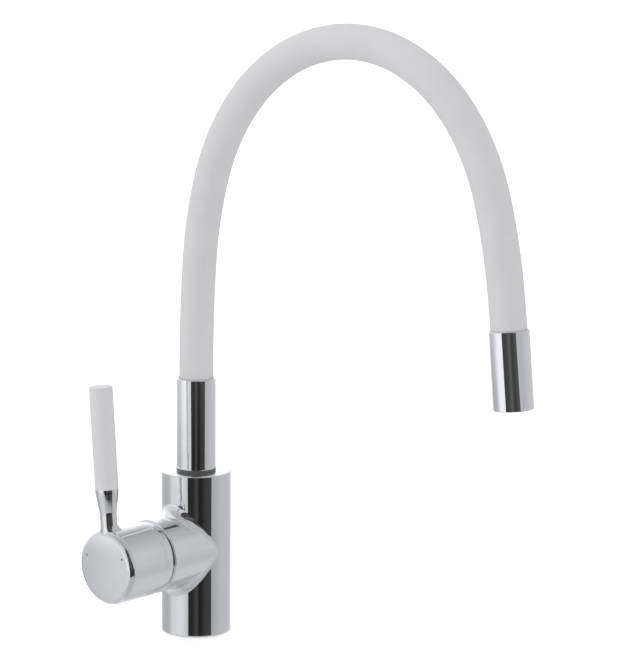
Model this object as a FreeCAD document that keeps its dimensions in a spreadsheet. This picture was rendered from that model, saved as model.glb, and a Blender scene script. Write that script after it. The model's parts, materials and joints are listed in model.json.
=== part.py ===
import FreeCAD, Part
import math
import os
import Sketcher

# Single-lever kitchen mixer with a flexible swivel neck. Millimetres, +Z up, origin at the
# centre of the base face. The neck bends over towards +X and the lever arm points to -Y.

SIZES = [
    # column and arm of the cast body
    ("body_radius", 24.0),
    ("body_height", 113.5),
    ("base_round", 1.5),
    ("top_round", 0.6),
    ("arm_height", 60.0),
    ("arm_root_radius", 23.8),
    ("arm_rim_radius", 25.4),
    ("arm_reach", 45.0),
    ("junction_round", 8.0),
    ("rim_round", 0.5),
    ("rim_recess_radius", 23.6),
    ("rim_recess_depth", 1.5),
    # underside: recess for the hose ends, seal groove, threaded ports and stud hole
    ("recess_radius", 19.0),
    ("recess_depth", 12.0),
    ("seal_inner_radius", 20.2),
    ("seal_width", 1.8),
    ("seal_depth", 1.5),
    ("inlet_half_spacing", 8.0),
    ("inlet_setback", 3.0),
    ("inlet_thread_radius", 4.5),
    ("inlet_thread_length", 12.0),
    ("stud_setback", 12.0),
    ("stud_thread_radius", 3.4),
    ("stud_thread_length", 14.0),
    # water channels
    ("riser_radius", 3.2),
    ("port_radius", 2.8),
    ("outlet_radius", 3.6),
    ("inlet_port_rise", 2.0),
    ("outlet_port_drop", 5.5),
    # cartridge: the seat's depth behind the arm's rim, then lengths in front of the seat
    ("cartridge_seat", 24.0),
    ("base_thickness", 5.0),
    ("cartridge_radius", 17.5),
    ("cartridge_clearance", 0.2),
    ("shell_wall", 2.0),
    ("shell_shoulder", 21.0),
    ("shell_front", 25.8),
    ("shell_front_wall", 2.5),
    ("gasket_radius", 4.4),
    ("gasket_thickness", 2.0),
    ("peg_radius", 1.5),
    ("peg_length", 3.0),
    ("peg_spread", 11.5),
    ("peg_rise", 6.5),
    ("peg_clearance", 0.1),
    ("disc_clearance", 0.1),
    ("fixed_disc_thickness", 3.5),
    ("water_film", 0.05),
    ("moving_disc_radius", 12.0),
    ("moving_disc_thickness", 4.0),
    ("disc_shift", 2.3),
    ("chamber_half_width", 8.5),
    ("chamber_height", 7.5),
    ("chamber_drop", 9.5),
    ("chamber_depth", 2.0),
    ("slider_radius", 11.5),
    ("slider_thickness", 6.0),
    ("slider_floor", 0.4),
    ("turret_radius", 12.0),
    ("turret_front", 5.5),
    ("flange_radius", 14.3),
    ("flange_back", 0.65),
    ("flange_clearance", 0.3),
    ("running_clearance", 0.05),
    ("slot_clearance", 0.3),
    ("slot_height", 14.0),
    ("pivot_reach", 29.5),
    ("pin_radius", 1.5),
    ("pin_length", 22.0),
    # cartridge nut and the dome that the handle swings over
    ("nut_radius", 18.9),
    ("nut_length", 7.5),
    ("nut_bore_clearance", 0.3),
    ("nut_slot_width", 5.0),
    ("nut_slot_depth", 2.0),
    ("dome_radius", 24.8),
    ("dome_foot", 1.0),
    ("dome_round", 4.0),
    ("dome_front", 12.0),
    ("dome_bore_radius", 18.3),
    ("dome_thread_end", 0.5),
    # handle, turned with the lever: backs and fronts are measured from the pivot
    ("handle_turn", 4.5),
    ("spindle_side", 8.0),
    ("spindle_back", 5.0),
    ("spindle_front", 25.5),
    ("shank_radius", 2.2),
    ("ball_radius", 3.2),
    ("ball_lift", 0.15),
    ("ball_clearance", 0.3),
    ("cap_radius", 25.7),
    ("cap_back", 4.4),
    ("cap_front", 36.6),
    ("cap_lip_wall", 0.6),
    ("cap_lip_length", 9.4),
    ("cap_wall", 2.5),
    ("cap_face_wall", 3.0),
    ("cap_round", 4.4),
    ("boss_radius", 8.0),
    ("boss_back", 14.5),
    ("socket_clearance", 0.05),
    ("grub_reach", 20.5),
    ("grub_radius", 2.1),
    ("grub_length", 5.5),
    ("grub_key_radius", 1.25),
    ("grub_key_depth", 2.0),
    ("plug_radius", 2.9),
    ("plug_length", 3.3),
    ("plug_sink", 0.3),
    ("dot_radius", 0.9),
    ("dot_depth", 0.6),
    ("dot_circle", 18.5),
    ("dot_angle", 23.5),
    ("lever_setback", 6.1),
    ("neck_radius", 5.75),
    ("neck_root", 18.0),
    ("neck_waist_top", 36.5),
    ("neck_head_height", 51.0),
    ("neck_round", 14.0),
    ("flare_foot", 21.0),
    ("flare_rise", 7.5),
    ("flare_spread", 5.0),
    ("grip_radius", 7.95),
    ("grip_foot", 53.1),
    ("grip_top", 122.6),
    ("grip_round", 1.0),
    ("rod_radius", 4.0),
    ("rod_top", 117.0),
    # swivel joint at the top of the body: groove heights are measured from the spigot's foot
    ("socket_radius", 10.1),
    ("socket_depth", 30.0),
    ("spigot_clearance", 0.05),
    ("spigot_end_gap", 1.5),
    ("spigot_bore", 5.5),
    ("groove_radius", 8.2),
    ("groove_width", 2.4),
    ("seal_gap", 0.05),
    ("lower_groove_height", 3.0),
    ("upper_groove_height", 21.0),
    ("bush_height", 7.0),
    ("bush_width", 3.5),
    ("bush_inner_radius", 9.2),
    ("lock_height", 14.5),
    ("lock_groove_radius", 8.8),
    ("lock_groove_width", 3.6),
    ("lock_screw_radius", 2.1),
    ("lock_screw_length", 9.0),
    ("lock_tip_radius", 1.2),
    ("lock_tip_clearance", 0.3),
    ("glide_radius", 13.6),
    ("glide_inner_radius", 10.6),
    ("glide_thickness", 1.7),
    ("collar_radius", 13.5),
    ("collar_wall", 1.5),
    ("collar_top", 64.8),
    ("collar_round", 0.4),
    ("collar_gap", 0.05),
    ("head_length", 20.0),
    ("tail_radius", 6.5),
    ("tail_length", 12.0),
    ("ferrule_flange", 4.0),
    ("ferrule_radius", 9.6),
    # flexible neck: lengths of its links and how far each one turns at rest
    ("sleeve_radius", 11.6),
    ("core_radius", 8.0),
    ("core_bore", 4.5),
    ("sleeve_tuck", 13.3),
    ("nozzle_tuck", 8.0),
    ("link_length", 55.3),
    ("core_gap", 1.2),
    ("core_tuck", 1.75),
    ("core_nozzle_tuck", 6.0),
    ("turn_first", 1.1),
    ("turn_second", 3.9),
    ("turn_third", 11.6),
    ("turn_fourth", 20.9),
    ("turn_fifth", 23.3),
    ("turn_sixth", 24.7),
    ("turn_seventh", 27.1),
    ("turn_eighth", 27.3),
    ("turn_ninth", 23.1),
    ("turn_tenth", 8.9),
    ("turn_last", 2.4),
    # nozzle, measured down the stream from the sleeve's end
    ("nozzle_radius", 12.9),
    ("nozzle_wall", 1.0),
    ("nozzle_length", 50.0),
    ("nozzle_round", 0.4),
    ("crimp_radius", 10.2),
    ("crimp_length", 8.0),
    ("crimp_body_length", 6.0),
    ("nozzle_tail_length", 8.0),
    ("adapter_gap", 2.0),
    ("adapter_length", 12.0),
    ("adapter_cup_radius", 9.3),
    ("adapter_cup_depth", 4.0),
    ("aerator_gasket_thickness", 1.0),
    ("aerator_wall", 2.1),
    ("aerator_lip", 0.8),
    ("aerator_lip_height", 1.4),
    ("aerator_sink", 0.8),
    ("regulator_thickness", 3.0),
    ("regulator_bore", 3.0),
    ("screen_thickness", 3.0),
    ("screen_hole_radius", 0.85),
    ("screen_pitch", 2.9),
]

TURNS = ["first", "second", "third", "fourth", "fifth", "sixth", "seventh", "eighth", "ninth", "tenth",
         "last"]
SCREEN_RINGS = [(0, 1), (1, 6), (2, 12)]
# shares of the flare's rise and of its spread, from its foot up
FLARE_STEPS = [(0, 1), (0.4, 0.5), (0.7, 0.14), (1, 0)]
# how far cutting tools reach past what they cut
OVERCUT = "1"
X_AXIS = FreeCAD.Vector(1, 0, 0)
Y_AXIS = FreeCAD.Vector(0, 1, 0)
Z_AXIS = FreeCAD.Vector(0, 0, 1)

doc = FreeCAD.newDocument("flexible_kitchen_tap")
dim = doc.addObject("Spreadsheet::Sheet", "Dim")
for row, (alias, value) in enumerate(SIZES, 1):
    dim.set(f"A{row}", alias)
    dim.set(f"B{row}", str(value))
    dim.setAlias(f"B{row}", alias)
doc.recompute()

nodes = []


def value_of(formula):
    """The number that a formula on the sheet gives now."""
    return float(dim.evalExpression(formula))


def bind(item, **formulas):
    """Bind properties of an object to formulas on the sheet."""
    for name, formula in formulas.items():
        item.setExpression(name, formula)


def node(item, name, frame=None):
    """Name an object as a sub-part and put it in its frame."""
    item.Label = name
    if frame is not None:
        item.Placement = frame
    nodes.append(item)
    return item


def origin_plane(body, role):
    """The body's own origin plane with this role."""
    return next(plane for plane in body.Origin.OriginFeatures if plane.Role == role)


def lathe(name, outline):
    """A body turned about its Z axis from (radius, height) corners given as formulas."""
    body = doc.addObject("PartDesign::Body", name)
    sketch = body.newObject("Sketcher::SketchObject", name + "_outline")
    sketch.AttachmentSupport = [(origin_plane(body, "XZ_Plane"), "")]
    sketch.MapMode = "FlatFace"
    corners = [FreeCAD.Vector(value_of(r), value_of(z), 0) for r, z in outline]
    count = len(corners)
    for i in range(count):
        sketch.addGeometry(Part.LineSegment(corners[i], corners[(i + 1) % count]))
    for i, (radius, height) in enumerate(outline):
        sketch.addConstraint(Sketcher.Constraint("Coincident", i, 2, (i + 1) % count, 1))
        across = sketch.addConstraint(Sketcher.Constraint("DistanceX", -1, 1, i, 1, corners[i].x))
        sketch.setExpression(f"Constraints[{across}]", radius)
        along = sketch.addConstraint(Sketcher.Constraint("DistanceY", -1, 1, i, 1, corners[i].y))
        sketch.setExpression(f"Constraints[{along}]", height)
    turned = body.newObject("PartDesign::Revolution", name + "_turned")
    turned.Profile = sketch
    turned.ReferenceAxis = (sketch, ["V_Axis"])
    turned.Angle = 360
    sketch.Visibility = False
    doc.recompute()
    return body


def ring(name, inner, outer, low, high):
    """A plain turned ring."""
    return lathe(name, [(inner, low), (outer, low), (outer, high), (inner, high)])


def round_rings(body, radius, rings):
    """Fillet the circular edges of a turned body at these (radius, height) places."""
    base = body.Tip
    wanted = [(value_of(r), value_of(z)) for r, z in rings]
    names = []
    for number, edge in enumerate(base.Shape.Edges, 1):
        if not isinstance(edge.Curve, Part.Circle):
            continue
        place = (edge.Curve.Radius, edge.Curve.Center.z)
        if any(math.dist(place, spot) < 1e-4 for spot in wanted):
            names.append(f"Edge{number}")
    fillet = body.newObject("PartDesign::Fillet", body.Name + "_round")
    fillet.Base = (base, names)
    fillet.setExpression("Radius", radius)
    doc.recompute()


def solid(kind, name, along="Z", at=("0", "0", "0"), **formulas):
    """A Part primitive bound to the sheet, standing along Z, Y, -Y or X."""
    item = doc.addObject("Part::" + kind, name)
    bind(item, **formulas)
    turn = {
        "Z": FreeCAD.Rotation(),
        "Y": FreeCAD.Rotation(X_AXIS, -90),
        "-Y": FreeCAD.Rotation(X_AXIS, 90),
        "X": FreeCAD.Rotation(Y_AXIS, 90),
    }[along]
    item.Placement = FreeCAD.Placement(FreeCAD.Vector(), turn)
    for letter, formula in zip("xyz", at):
        item.setExpression(f".Placement.Base.{letter}", formula)
    return item


def cylinder(name, radius, length, along="Z", at=("0", "0", "0")):
    """A round bar that starts at a point and runs along an axis."""
    return solid("Cylinder", name, along, at, Radius=radius, Height=length)


def box(name, wide, deep, high, at):
    """A block that starts at its lowest corner."""
    return solid("Box", name, "Z", at, Length=wide, Width=deep, Height=high)


def fuse(name, *items):
    """Join solids into one."""
    joined = doc.addObject("Part::MultiFuse", name)
    joined.Shapes = list(items)
    joined.Refine = True
    doc.recompute()
    return joined


def cut(name, base, *tools):
    """Take tools away from a base."""
    result = doc.addObject("Part::Cut", name)
    result.Base = base
    result.Tool = tools[0] if len(tools) == 1 else fuse(name + "_tools", *tools)
    result.Refine = True
    doc.recompute()
    return result


def compound(name, items):
    """Several separate solids that share one node."""
    group = doc.addObject("Part::Compound", name)
    group.Links = items
    doc.recompute()
    return group


def arm_frame():
    """Frame of the arm: local Z runs out along the arm, local Y is up."""
    return FreeCAD.Placement(FreeCAD.Vector(0, 0, value_of("Dim.arm_height")), FreeCAD.Rotation(X_AXIS, 90))


def handle_frame():
    """The arm's frame, turned about the arm with the lever."""
    turned = FreeCAD.Rotation(Z_AXIS, value_of("Dim.handle_turn"))
    return arm_frame() * FreeCAD.Placement(FreeCAD.Vector(), turned)


def lever_frame():
    """Frame of the lever: local Z runs up the lever from the arm's axis."""
    foot = FreeCAD.Vector(0, 0, value_of(LEVER_LINE))
    return FreeCAD.Placement(foot, FreeCAD.Rotation(X_AXIS, -90))


SEAT = "(Dim.arm_reach - Dim.cartridge_seat)"
SHOULDER = f"({SEAT} + Dim.shell_shoulder)"
SHELL_FRONT = f"({SEAT} + Dim.shell_front)"
SHELL_BORE = "(Dim.cartridge_radius - Dim.shell_wall)"
HOUSING_BACK = f"({SEAT} + Dim.base_thickness)"
FILM = f"({HOUSING_BACK} + Dim.fixed_disc_thickness + Dim.water_film)"
SLIDER_BACK = f"({FILM} + Dim.moving_disc_thickness)"
FLANGE_BACK = f"({SLIDER_BACK} + Dim.slider_thickness + Dim.flange_back)"
PIVOT = f"({SEAT} + Dim.pivot_reach)"
BALL = f"({SLIDER_BACK} + Dim.slider_floor + Dim.ball_lift + Dim.ball_radius)"
TURRET_FRONT = f"({PIVOT} + Dim.turret_front)"
NUT_FRONT = f"({SHOULDER} + Dim.nut_length)"
DOME_FOOT = "(Dim.arm_reach - Dim.dome_foot)"
DOME_FRONT = f"({PIVOT} + Dim.dome_front)"
SPINDLE_BACK = f"({PIVOT} - Dim.spindle_back)"
SPINDLE_FRONT = f"({PIVOT} + Dim.spindle_front)"
CAP_BACK = f"({PIVOT} + Dim.cap_back)"
CAP_FRONT = f"({PIVOT} + Dim.cap_front)"
BOSS_BACK = f"({PIVOT} + Dim.boss_back)"
GRUB_PLACE = f"({PIVOT} + Dim.grub_reach)"
LEVER_LINE = f"({CAP_FRONT} - Dim.lever_setback)"
SPIGOT = "(Dim.socket_radius - Dim.spigot_clearance)"
SPIGOT_END = "(Dim.body_height - Dim.socket_depth + Dim.spigot_end_gap)"
LOWER_GROOVE = f"({SPIGOT_END} + Dim.lower_groove_height)"
UPPER_GROOVE = f"({SPIGOT_END} + Dim.upper_groove_height)"
BUSH_FOOT = f"({SPIGOT_END} + Dim.bush_height)"
LOCK_HEIGHT = f"({SPIGOT_END} + Dim.lock_height)"
GLIDE_TOP = "(Dim.body_height + Dim.glide_thickness)"
HEAD_BOTTOM = f"({GLIDE_TOP} + Dim.collar_gap)"
HEAD_TOP = f"({HEAD_BOTTOM} + Dim.head_length)"
COLLAR_TOP = "(Dim.body_height + Dim.collar_top)"
COLLAR_BORE = "(Dim.collar_radius - Dim.collar_wall)"
SLEEVE_FOOT = f"({COLLAR_TOP} - Dim.sleeve_tuck)"
CORE_FOOT = f"({HEAD_TOP} + Dim.ferrule_flange + Dim.core_tuck)"
NOZZLE_BORE = "(Dim.nozzle_radius - Dim.nozzle_wall)"


def make_body_casting():
    """Chromed brass casting: column, arm, water channels, cartridge chamber and spout socket."""
    column = cylinder("column", "Dim.body_radius", "Dim.body_height")
    arm = solid("Cone", "arm", "-Y", ("0", "0", "Dim.arm_height"),
                Radius1="Dim.arm_root_radius", Radius2="Dim.arm_rim_radius", Height="Dim.arm_reach")
    outside = fuse("body_outside", column, arm)
    rounds = {
        "junction": value_of("Dim.junction_round"),
        "base": value_of("Dim.base_round"),
        "top": value_of("Dim.top_round"),
        "rim": value_of("Dim.rim_round"),
    }
    picked = []
    for number, edge in enumerate(outside.Shape.Edges, 1):
        if isinstance(edge.Curve, Part.Circle):
            upright = abs(edge.Curve.Axis.z) > 0.5
            place = ("top" if edge.Curve.Center.z > 1 else "base") if upright else "rim"
        elif isinstance(edge.Curve, Part.Line):
            continue
        else:
            place = "junction"
        picked.append((number, rounds[place], rounds[place]))
    rounded = doc.addObject("Part::Fillet", "body_rounded")
    rounded.Base = outside
    rounded.Edges = picked
    doc.recompute()

    tools = [
        cylinder("hose_recess", "Dim.recess_radius", "Dim.recess_depth"),
        cylinder("stud_hole", "Dim.stud_thread_radius", "Dim.recess_depth + Dim.stud_thread_length",
                 at=("0", "Dim.stud_setback", "0")),
        ring("seal_groove", "Dim.seal_inner_radius", "Dim.seal_inner_radius + Dim.seal_width",
             "0", "Dim.seal_depth"),
        cylinder("spout_socket", "Dim.socket_radius", "Dim.socket_depth",
                 at=("0", "0", "Dim.body_height - Dim.socket_depth")),
        cylinder("outlet_riser", "Dim.outlet_radius",
                 "Dim.body_height - Dim.arm_height + Dim.outlet_port_drop - Dim.socket_depth / 2",
                 at=("0", "0", "Dim.arm_height - Dim.outlet_port_drop")),
        cylinder("outlet_channel", "Dim.port_radius", f"{SEAT} + {OVERCUT}", along="Y",
                 at=("0", f"-{SEAT} - {OVERCUT}", "Dim.arm_height - Dim.outlet_port_drop")),
        cylinder("lock_hole", "Dim.lock_screw_radius", "Dim.body_radius", along="X",
                 at=("-Dim.body_radius", "0", LOCK_HEIGHT)),
    ]
    for side, sign in (("left", "-"), ("right", "")):
        across = f"{sign}Dim.inlet_half_spacing"
        tools += [
            cylinder(f"{side}_port", "Dim.inlet_thread_radius", "Dim.recess_depth + Dim.inlet_thread_length",
                     at=(across, "-Dim.inlet_setback", "0")),
            cylinder(f"{side}_riser", "Dim.riser_radius", "Dim.arm_height + Dim.inlet_port_rise",
                     at=(across, "-Dim.inlet_setback", "0")),
            cylinder(f"{side}_channel", "Dim.port_radius", f"{SEAT} + {OVERCUT} - Dim.inlet_setback",
                     along="Y", at=(across, f"-{SEAT} - {OVERCUT}", "Dim.arm_height + Dim.inlet_port_rise")),
            cylinder(f"{side}_peg_hole", "Dim.peg_radius + Dim.peg_clearance", f"Dim.peg_length + {OVERCUT}",
                     along="Y", at=(f"{sign}Dim.peg_spread", f"-{SEAT} - {OVERCUT}",
                                    "Dim.arm_height - Dim.peg_rise")),
        ]
    chamber = lathe("cartridge_chamber", [
        ("0", SEAT),
        ("Dim.cartridge_radius + Dim.cartridge_clearance", SEAT),
        ("Dim.cartridge_radius + Dim.cartridge_clearance", f"{SHOULDER} - Dim.cartridge_clearance"),
        ("Dim.nut_radius", f"{SHOULDER} - Dim.cartridge_clearance"),
        ("Dim.nut_radius", "Dim.arm_reach - Dim.rim_recess_depth"),
        ("Dim.rim_recess_radius", "Dim.arm_reach - Dim.rim_recess_depth"),
        ("Dim.rim_recess_radius", f"Dim.arm_reach + {OVERCUT}"),
        ("0", f"Dim.arm_reach + {OVERCUT}"),
    ])
    chamber.Placement = arm_frame()
    node(cut("casting", rounded, chamber, *tools), "body_casting")


def make_base_seal():
    """Rubber ring that fills the groove under the base."""
    seal = ring("seal_under_base", "Dim.seal_inner_radius", "Dim.seal_inner_radius + Dim.seal_width",
                "0", "Dim.seal_depth")
    node(seal, "base_seal")


def make_lock_screw():
    """Grub screw at the back of the body, whose tip runs in the spigot's groove."""
    tip_start = "Dim.lock_groove_radius + Dim.lock_tip_clearance"
    screw_start = "Dim.socket_radius + Dim.lock_tip_clearance"
    screw_end = f"{screw_start} + Dim.lock_screw_length"
    screw = lathe("lock_screw_form", [
        ("0", tip_start),
        ("Dim.lock_tip_radius", tip_start),
        ("Dim.lock_tip_radius", screw_start),
        ("Dim.lock_screw_radius", screw_start),
        ("Dim.lock_screw_radius", screw_end),
        ("Dim.grub_key_radius", screw_end),
        ("Dim.grub_key_radius", f"{screw_end} - Dim.grub_key_depth"),
        ("0", f"{screw_end} - Dim.grub_key_depth"),
    ])
    place = FreeCAD.Vector(0, 0, value_of(LOCK_HEIGHT))
    node(screw, "spout_lock_screw", FreeCAD.Placement(place, FreeCAD.Rotation(Y_AXIS, -90)))


def make_swivel_ring():
    """Plastic ring that the collar turns on."""
    glide = ring("glide", "Dim.glide_inner_radius", "Dim.glide_radius", "Dim.body_height", GLIDE_TOP)
    node(glide, "swivel_ring")


def port_places():
    """Name, across and up formulas of the cartridge's three ports, in the arm's frame."""
    return [
        ("cold", "Dim.inlet_half_spacing", "Dim.inlet_port_rise"),
        ("hot", "-Dim.inlet_half_spacing", "Dim.inlet_port_rise"),
        ("mixed", "0", "-Dim.outlet_port_drop"),
    ]


def make_cartridge_base():
    """Plastic plate with the ports, their gasket pockets and two locating pegs."""
    plate = cylinder("base_plate", "Dim.cartridge_radius", "Dim.base_thickness", at=("0", "0", SEAT))
    pegs = [
        cylinder(f"{side}_peg", "Dim.peg_radius", f"Dim.peg_length + {OVERCUT}",
                 at=(f"{sign}Dim.peg_spread", "-Dim.peg_rise", f"{SEAT} - Dim.peg_length"))
        for side, sign in (("left", "-"), ("right", ""))
    ]
    tools = []
    for name, across, up in port_places():
        tools += [
            cylinder(f"{name}_base_port", "Dim.port_radius", "Dim.base_thickness",
                     at=(across, up, SEAT)),
            cylinder(f"{name}_pocket", "Dim.gasket_radius", "Dim.gasket_thickness",
                     at=(across, up, SEAT)),
        ]
    blank = fuse("base_blank", plate, *pegs)
    node(cut("base_with_ports", blank, *tools), "cartridge_base", arm_frame())


def make_port_gaskets():
    """Three rubber rings between the cartridge and the casting."""
    rings = []
    for name, across, up in port_places():
        outer = cylinder(f"{name}_gasket_outside", "Dim.gasket_radius", "Dim.gasket_thickness",
                         at=(across, up, SEAT))
        inner = cylinder(f"{name}_gasket_hole", "Dim.port_radius", "Dim.gasket_thickness",
                         at=(across, up, SEAT))
        rings.append(cut(f"{name}_gasket", outer, inner))
    node(compound("gaskets", rings), "port_gaskets", arm_frame())


def make_cartridge_housing():
    """Plastic shell of the cartridge, with a shoulder for the nut and a hole for the turret."""
    nose = f"{SHELL_BORE} + Dim.disc_clearance"
    wall_back = f"{SHELL_FRONT} - Dim.shell_front_wall"
    hole = "Dim.turret_radius + Dim.running_clearance"
    shell = lathe("cartridge_shell", [
        (SHELL_BORE, HOUSING_BACK),
        ("Dim.cartridge_radius", HOUSING_BACK),
        ("Dim.cartridge_radius", SHOULDER),
        (nose, SHOULDER),
        (nose, SHELL_FRONT),
        (hole, SHELL_FRONT),
        (hole, wall_back),
        ("Dim.flange_radius + Dim.flange_clearance", wall_back),
        ("Dim.flange_radius + Dim.flange_clearance", f"{FLANGE_BACK} - Dim.flange_clearance"),
        (SHELL_BORE, f"{FLANGE_BACK} - Dim.flange_clearance"),
    ])
    node(shell, "cartridge_housing", arm_frame())


def make_fixed_disc():
    """Ceramic disc with the three ports."""
    blank = cylinder("fixed_disc_blank", f"{SHELL_BORE} - Dim.disc_clearance", "Dim.fixed_disc_thickness",
                     at=("0", "0", HOUSING_BACK))
    tools = [
        cylinder(f"{name}_disc_port", "Dim.port_radius", "Dim.fixed_disc_thickness",
                 at=(across, up, HOUSING_BACK))
        for name, across, up in port_places()
    ]
    node(cut("fixed_disc_ported", blank, *tools), "fixed_disc", arm_frame())


def make_cartridge_nut():
    """Brass nut with four spanner slots that clamps the cartridge."""
    blank = ring("nut_blank", f"{SHELL_BORE} + Dim.nut_bore_clearance", "Dim.nut_radius",
                 SHOULDER, NUT_FRONT)
    slot_foot = f"{NUT_FRONT} - Dim.nut_slot_depth"
    long_side = f"2 * Dim.nut_radius + 2 * {OVERCUT}"
    slots = [
        box("nut_slot_level", long_side, "Dim.nut_slot_width", "Dim.nut_slot_depth",
            (f"-Dim.nut_radius - {OVERCUT}", "-Dim.nut_slot_width / 2", slot_foot)),
        box("nut_slot_upright", "Dim.nut_slot_width", long_side, "Dim.nut_slot_depth",
            ("-Dim.nut_slot_width / 2", f"-Dim.nut_radius - {OVERCUT}", slot_foot)),
    ]
    node(cut("nut_slotted", blank, *slots), "cartridge_nut", arm_frame())


def make_dome_ring():
    """Chromed ring with a ball-shaped outside that the handle's skirt swings over."""
    ball = solid("Sphere", "dome_ball", at=("0", "0", PIVOT), Radius="Dim.dome_radius")
    slab = cylinder("dome_slab", f"Dim.dome_radius + {OVERCUT}", f"{DOME_FRONT} - {DOME_FOOT}",
                    at=("0", "0", DOME_FOOT))
    zone = doc.addObject("Part::Common", "dome_zone")
    zone.Base = ball
    zone.Tool = slab
    doc.recompute()
    foot = value_of(DOME_FOOT)
    picked = [
        (number, value_of("Dim.dome_round"), value_of("Dim.dome_round"))
        for number, edge in enumerate(zone.Shape.Edges, 1)
        if isinstance(edge.Curve, Part.Circle) and abs(edge.Curve.Center.z - foot) < 1e-4
    ]
    rounded = doc.addObject("Part::Fillet", "dome_rounded")
    rounded.Base = zone
    rounded.Edges = picked
    doc.recompute()
    bore = cylinder("dome_bore", "Dim.dome_bore_radius", f"{DOME_FRONT} - {DOME_FOOT} + 2 * {OVERCUT}",
                    at=("0", "0", f"{DOME_FOOT} - {OVERCUT}"))
    thread = cylinder("dome_thread", "Dim.nut_radius",
                      f"{NUT_FRONT} + Dim.dome_thread_end - {DOME_FOOT} + {OVERCUT}",
                      at=("0", "0", f"{DOME_FOOT} - {OVERCUT}"))
    node(cut("dome", rounded, bore, thread), "dome_ring", arm_frame())


def make_cartridge_carrier():
    """Turret that turns in the housing and holds the lever's pivot pin."""
    flange_front = f"{SHELL_FRONT} - Dim.shell_front_wall - Dim.flange_clearance"
    blank = lathe("turret_blank", [
        ("0", FLANGE_BACK),
        ("Dim.flange_radius", FLANGE_BACK),
        ("Dim.flange_radius", flange_front),
        ("Dim.turret_radius", flange_front),
        ("Dim.turret_radius", TURRET_FRONT),
        ("0", TURRET_FRONT),
    ])
    half_slot = "Dim.spindle_side / 2 + Dim.slot_clearance"
    slot = box("turret_slot", f"2 * ({half_slot})", "Dim.slot_height",
               f"{TURRET_FRONT} - {FLANGE_BACK} + 2 * {OVERCUT}",
               (f"-({half_slot})", "-Dim.slot_height / 2", f"{FLANGE_BACK} - {OVERCUT}"))
    hole = cylinder("turret_pin_hole", "Dim.pin_radius", f"2 * Dim.turret_radius + 2 * {OVERCUT}", along="X",
                    at=(f"-Dim.turret_radius - {OVERCUT}", "0", PIVOT))
    node(cut("turret", blank, slot, hole), "cartridge_carrier", handle_frame())


def make_pivot_pin():
    """Steel pin that the lever tilts on."""
    pin = cylinder("pin", "Dim.pin_radius", "Dim.pin_length", along="X",
                   at=("-Dim.pin_length / 2", "0", PIVOT))
    node(compound("pin_in_place", [pin]), "pivot_pin", handle_frame())


def make_moving_disc():
    """Ceramic disc that slides over the ports, with the mixing chamber in its back."""
    blank = cylinder("moving_disc_blank", "Dim.moving_disc_radius", "Dim.moving_disc_thickness",
                     at=("0", "-Dim.disc_shift", FILM))
    chamber = box("mixing_chamber", "2 * Dim.chamber_half_width", "Dim.chamber_height", "Dim.chamber_depth",
                  ("-Dim.chamber_half_width", "-Dim.chamber_drop", FILM))
    node(cut("moving_disc_hollowed", blank, chamber), "moving_disc", handle_frame())


def make_disc_carrier():
    """Plastic slider behind the moving disc, with the socket for the spindle's ball."""
    blank = cylinder("slider_blank", "Dim.slider_radius", "Dim.slider_thickness",
                     at=("0", "-Dim.disc_shift", SLIDER_BACK))
    hole = cylinder("ball_socket", "Dim.ball_radius + Dim.ball_clearance", "Dim.slider_thickness",
                    at=("0", "0", f"{SLIDER_BACK} + Dim.slider_floor"))
    node(cut("slider", blank, hole), "disc_carrier", handle_frame())


def make_lever_spindle():
    """Brass spindle: square head, round shank and the ball that moves the disc."""
    head = box("spindle_head", "Dim.spindle_side", "Dim.spindle_side", f"{SPINDLE_FRONT} - {SPINDLE_BACK}",
               ("-Dim.spindle_side / 2", "-Dim.spindle_side / 2", SPINDLE_BACK))
    shank = cylinder("spindle_shank", "Dim.shank_radius", f"{SPINDLE_BACK} - {BALL} + {OVERCUT}",
                     at=("0", "0", BALL))
    ball = solid("Sphere", "spindle_ball", at=("0", "0", BALL), Radius="Dim.ball_radius")
    hole = cylinder("spindle_pin_hole", "Dim.pin_radius + Dim.running_clearance",
                    f"Dim.spindle_side + 2 * {OVERCUT}", along="X",
                    at=(f"-Dim.spindle_side / 2 - {OVERCUT}", "0", PIVOT))
    node(cut("spindle", fuse("spindle_blank", head, shank, ball), hole), "lever_spindle", handle_frame())


def dot_places():
    """Across and up formulas of the two index dots on the cap's face."""
    across = "Dim.dot_circle * cos(Dim.dot_angle)"
    up = "Dim.dot_circle * sin(Dim.dot_angle)"
    return [("left", f"-{across}", up), ("right", across, up)]


def make_neck_flare():
    """Root of the lever: it widens backwards only, flush with the lever's front."""
    rings = [("Dim.neck_root", "Dim.flare_spread")]
    rings += [
        (f"Dim.flare_foot + Dim.flare_rise * {rise}", f"Dim.flare_spread * {spread}")
        for rise, spread in FLARE_STEPS
    ]
    circles = []
    for i, (up, wider) in enumerate(rings):
        circle = doc.addObject("Part::Circle", f"flare_ring_{i}")
        circle.setExpression("Radius", f"Dim.neck_radius + {wider}")
        circle.Placement = FreeCAD.Placement(FreeCAD.Vector(), FreeCAD.Rotation(X_AXIS, -90))
        circle.setExpression(".Placement.Base.y", up)
        circle.setExpression(".Placement.Base.z", f"{LEVER_LINE} - {wider}")
        circles.append(circle)
    flare = doc.addObject("Part::Loft", "neck_flare")
    flare.Sections = circles
    flare.Solid = True
    flare.Ruled = True
    return flare


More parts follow.
